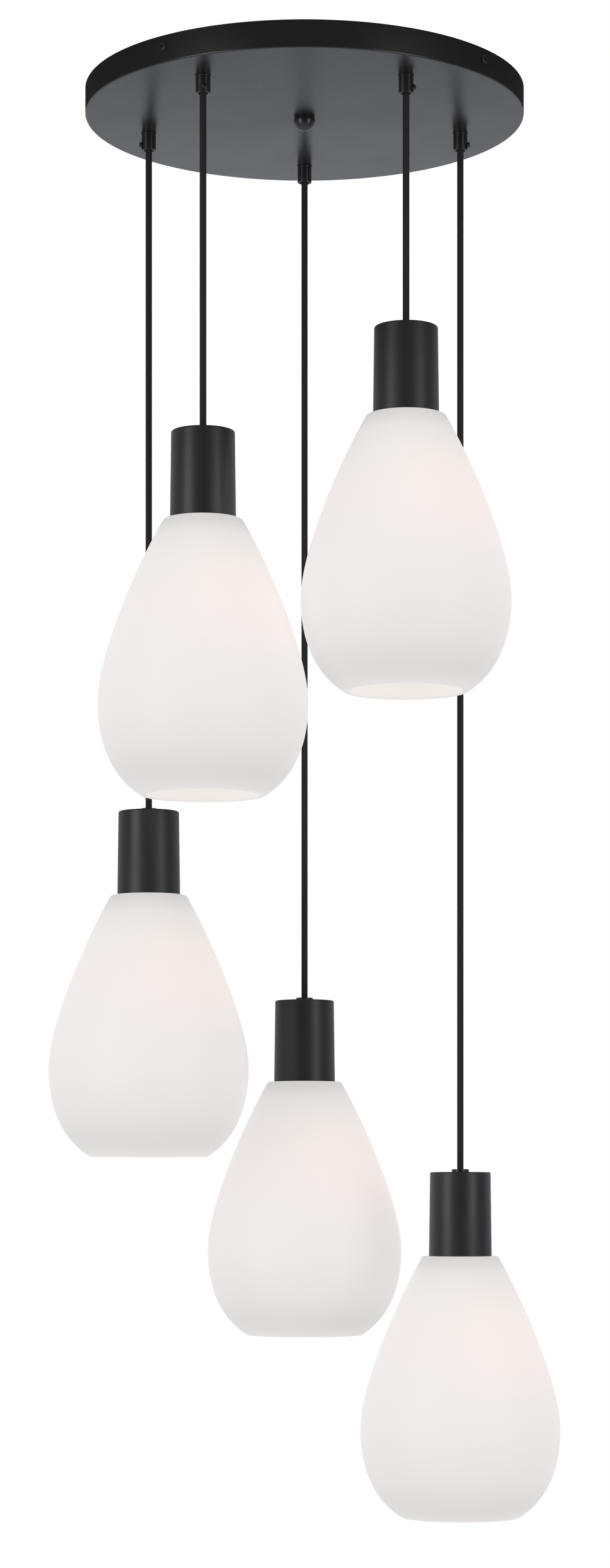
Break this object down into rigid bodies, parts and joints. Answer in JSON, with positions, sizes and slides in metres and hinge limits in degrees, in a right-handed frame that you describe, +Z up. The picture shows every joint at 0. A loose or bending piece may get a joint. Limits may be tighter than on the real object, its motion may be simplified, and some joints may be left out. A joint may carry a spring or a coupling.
{
  "type": "cluster pendant light",
  "caption": "Ceiling light with opal glass teardrop shades in black cups, hung on straight braided cords of different lengths from a round canopy.",
  "frame": {"origin": "middle of the ceiling bracket's top face, between its two box slots, in the plane of the ceiling", "axes": "+Z up into the ceiling, +X to the right of the picture, -Y towards its camera"},
  "size_m": [0.512, 0.4966, 1.4115],
  "materials": {
    "black_canopy": "matte",
    "black_cup": "satin",
    "black_metal": "satin",
    "black_screws": "satin",
    "zinc_steel": "satin",
    "black_cord": "matte",
    "block_plastic": "matte",
    "holder_plastic": "satin",
    "ring_plastic": "satin",
    "opal_glass": "satin",
    "bulb_glass": "satin",
    "cap_metal": "polished"
  },
  "bodies": {
    "ceiling_fixture": {"canopy": "black_canopy", "ceiling_bracket": "zinc_steel", "rim_screws": "black_screws", "centre_stud": "zinc_steel", "stud_nut": "zinc_steel", "cord_grips": "black_metal", "grip_nuts": "zinc_steel", "terminal_block": "block_plastic", "cord_tails": "black_cord"},
    "canopy_ball_nut": {"ball_nut": "black_metal"},
    "grip_screw_body_1": {"grip_screw_1": "black_screws"},
    "swinging_cord_1": {"cord_1": "black_cord"},
    "pendant_1": {"collar_1": "black_metal", "cup_nut_1": "zinc_steel", "cup_1": "black_cup", "lampholder_1": "holder_plastic", "shade_1": "opal_glass", "shade_ring_1": "ring_plastic", "bulb_1": "bulb_glass", "bulb_base_1": "cap_metal"},
    "grip_screw_body_2": {"grip_screw_2": "black_screws"},
    "swinging_cord_2": {"cord_2": "black_cord"},
    "pendant_2": {"collar_2": "black_metal", "cup_nut_2": "zinc_steel", "cup_2": "black_cup", "lampholder_2": "holder_plastic", "shade_2": "opal_glass", "shade_ring_2": "ring_plastic", "bulb_2": "bulb_glass", "bulb_base_2": "cap_metal"},
    "grip_screw_body_3": {"grip_screw_3": "black_screws"},
    "swinging_cord_3": {"cord_3": "black_cord"},
    "pendant_3": {"collar_3": "black_metal", "cup_nut_3": "zinc_steel", "cup_3": "black_cup", "lampholder_3": "holder_plastic", "shade_3": "opal_glass", "shade_ring_3": "ring_plastic", "bulb_3": "bulb_glass", "bulb_base_3": "cap_metal"},
    "grip_screw_body_4": {"grip_screw_4": "black_screws"},
    "swinging_cord_4": {"cord_4": "black_cord"},
    "pendant_4": {"collar_4": "black_metal", "cup_nut_4": "zinc_steel", "cup_4": "black_cup", "lampholder_4": "holder_plastic", "shade_4": "opal_glass", "shade_ring_4": "ring_plastic", "bulb_4": "bulb_glass", "bulb_base_4": "cap_metal"},
    "grip_screw_body_5": {"grip_screw_5": "black_screws"},
    "swinging_cord_5": {"cord_5": "black_cord"},
    "pendant_5": {"collar_5": "black_metal", "cup_nut_5": "zinc_steel", "cup_5": "black_cup", "lampholder_5": "holder_plastic", "shade_5": "opal_glass", "shade_ring_5": "ring_plastic", "bulb_5": "bulb_glass", "bulb_base_5": "cap_metal"}
  },
  "joints": [
    {"name": "ball_nut_turn", "type": "hinge", "parent": "ceiling_fixture", "child": "canopy_ball_nut", "pos_m": [0, 0, -0.026], "axis": [0, 0, 1], "continuous": true},
    {"name": "grip_screw_turn_1", "type": "hinge", "parent": "ceiling_fixture", "child": "grip_screw_body_1", "pos_m": [0.0964, -0.13268, -0.0378], "axis": [0.9659, -0.2588, 0], "range_deg": [0, 360]},
    {"name": "pendant_swing_1", "type": "hinge", "parent": "ceiling_fixture", "child": "swinging_cord_1", "pos_m": [0.0964, -0.13268, -0.043], "axis": [-0.809, -0.5878, 0], "range_deg": [-1, 15]},
    {"name": "pendant_drop_1", "type": "slide", "parent": "swinging_cord_1", "child": "pendant_1", "axis": [0, 0, 1], "range_m": [-0.015, 0.18], "deforming": ["cord_1"]},
    {"name": "grip_screw_turn_2", "type": "hinge", "parent": "ceiling_fixture", "child": "grip_screw_body_2", "pos_m": [-0.0964, -0.13268, -0.0378], "axis": [0.1736, -0.9848, 0], "range_deg": [0, 360]},
    {"name": "pendant_swing_2", "type": "hinge", "parent": "ceiling_fixture", "child": "swinging_cord_2", "pos_m": [-0.0964, -0.13268, -0.043], "axis": [-0.809, 0.5878, 0], "range_deg": [-1, 15]},
    {"name": "pendant_drop_2", "type": "slide", "parent": "swinging_cord_2", "child": "pendant_2", "axis": [0, 0, 1], "range_m": [-0.11, 0.015], "deforming": ["cord_2"]},
    {"name": "grip_screw_turn_3", "type": "hinge", "parent": "ceiling_fixture", "child": "grip_screw_body_3", "pos_m": [-0.15597, 0.05068, -0.0378], "axis": [-0.9848, -0.1736, 0], "range_deg": [0, 360]},
    {"name": "pendant_swing_3", "type": "hinge", "parent": "ceiling_fixture", "child": "swinging_cord_3", "pos_m": [-0.15597, 0.05068, -0.043], "axis": [0.309, 0.9511, 0], "range_deg": [-1, 15]},
    {"name": "pendant_drop_3", "type": "slide", "parent": "swinging_cord_3", "child": "pendant_3", "axis": [0, 0, 1], "range_m": [-0.09, 0.11], "deforming": ["cord_3"]},
    {"name": "grip_screw_turn_4", "type": "hinge", "parent": "ceiling_fixture", "child": "grip_screw_body_4", "pos_m": [0, 0.164, -0.0378], "axis": [0, 1, 0], "range_deg": [0, 360]},
    {"name": "pendant_swing_4", "type": "hinge", "parent": "ceiling_fixture", "child": "swinging_cord_4", "pos_m": [0, 0.164, -0.043], "axis": [1, 0, 0], "range_deg": [-1, 15]},
    {"name": "pendant_drop_4", "type": "slide", "parent": "swinging_cord_4", "child": "pendant_4", "axis": [0, 0, 1], "range_m": [-0.08, 0.09], "deforming": ["cord_4"]},
    {"name": "grip_screw_turn_5", "type": "hinge", "parent": "ceiling_fixture", "child": "grip_screw_body_5", "pos_m": [0.15597, 0.05068, -0.0378], "axis": [0.9848, -0.1736, 0], "range_deg": [0, 360]},
    {"name": "pendant_swing_5", "type": "hinge", "parent": "ceiling_fixture", "child": "swinging_cord_5", "pos_m": [0.15597, 0.05068, -0.043], "axis": [0.309, -0.9511, 0], "range_deg": [-1, 15]},
    {"name": "pendant_drop_5", "type": "slide", "parent": "swinging_cord_5", "child": "pendant_5", "axis": [0, 0, 1], "range_m": [-0.15, 0.08], "deforming": ["cord_5"]}
  ]
}
